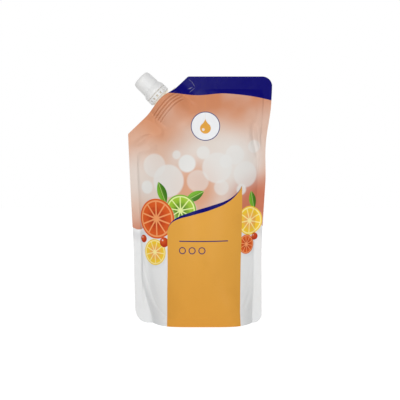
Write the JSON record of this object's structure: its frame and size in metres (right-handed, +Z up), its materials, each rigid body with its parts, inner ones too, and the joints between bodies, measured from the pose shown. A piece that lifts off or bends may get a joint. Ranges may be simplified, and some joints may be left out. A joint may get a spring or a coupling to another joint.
{
  "type": "hand soap refill pack",
  "caption": "Filled stand-up refill pouch for liquid hand soap, with a folded base and a slanted corner spout under a screw cap.",
  "frame": {"origin": "middle of the bounding box at its bottom, on the surface the pouch stands on", "axes": "+Z up, +X to the right as the front is seen, -Y out of the front"},
  "size_m": [0.1344, 0.0504, 0.2349],
  "materials": {
    "film": "printed laminate film, satin",
    "spout_plastic": "milky moulded polyethylene",
    "cap_plastic": "milky moulded polyethylene"
  },
  "bodies": {
    "pack": {"refill_pouch": "film", "spout": "spout_plastic"},
    "ring": {"tamper_ring": "cap_plastic"},
    "cap": {"screw_cap": "cap_plastic"}
  },
  "joints": [
    {"name": "cap_turn", "type": "hinge", "parent": "pack", "child": "ring", "pos_m": [-0.03593, 0, 0.21067], "axis": [-0.7218, 0, 0.6921], "range_deg": [0, 540]},
    {"name": "cap_rise", "type": "slide", "parent": "ring", "child": "cap", "axis": [-0.7218, 0, 0.6921], "range_m": [0, 0.009]}
  ],
  "couplings": [
    {"joint": "cap_rise", "follows": "cap_turn", "m_per_rad": 0.00095492}
  ]
}
